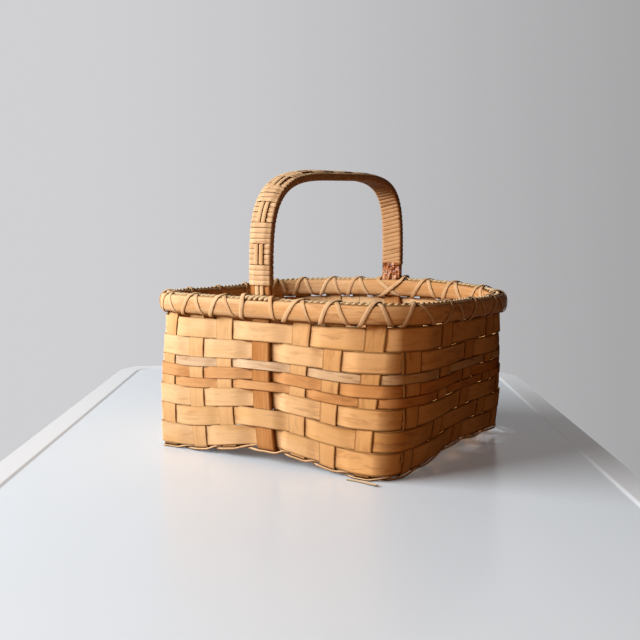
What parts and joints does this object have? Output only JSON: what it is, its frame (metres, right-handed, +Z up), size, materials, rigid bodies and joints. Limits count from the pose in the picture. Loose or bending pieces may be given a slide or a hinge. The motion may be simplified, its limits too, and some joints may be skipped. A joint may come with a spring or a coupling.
{
  "type": "harvest basket",
  "caption": "Open rectangular splint basket with a domed woven base, a lashed hoop rim and a fixed wrapped bentwood carrying handle.",
  "frame": {"origin": "on the table, under the middle of the rim", "axes": "+Z up, +X along the longer side of the rim, the handle stands over the short way in the YZ plane, the side seen at the left of the picture faces -Y"},
  "size_m": [0.2964, 0.2508, 0.249],
  "materials": {
    "pale_splint": "bare peeled splint, satin",
    "warm_splint": "bare peeled splint of a warmer tone, satin",
    "grey_splint": "bare peeled splint of a greyer tone, satin",
    "handle_wood": "bent hardwood strip with upright grain, satin",
    "rim_wood": "half-round reed, smooth",
    "cane": "flat cane with a smooth skin",
    "seagrass": "twisted grass cord, matt"
  },
  "bodies": {
    "root": {"cross_stake_1": "pale_splint", "cross_stake_2": "pale_splint", "cross_stake_3": "pale_splint", "cross_stake_5": "pale_splint", "cross_stake_6": "pale_splint", "cross_stake_7": "pale_splint", "long_stake_1": "pale_splint", "long_stake_2": "pale_splint", "long_stake_3": "pale_splint", "long_stake_4": "pale_splint", "long_stake_5": "pale_splint", "weaver_1": "pale_splint", "weaver_2": "pale_splint", "weaver_3": "pale_splint", "weaver_4": "warm_splint", "weaver_5": "warm_splint", "weaver_6": "grey_splint", "weaver_7": "pale_splint", "weaver_8": "pale_splint", "rim_weaver": "pale_splint", "handle_hoop": "handle_wood", "twining_strand_1": "cane", "twining_strand_2": "cane", "outer_rim": "rim_wood", "inner_rim": "rim_wood", "rim_filler": "seagrass", "rim_lashing_under": "cane", "rim_lashing_over": "cane", "handle_wrap": "cane", "handle_strap_1": "cane", "handle_strap_2": "cane"}
  },
  "joints": []
}
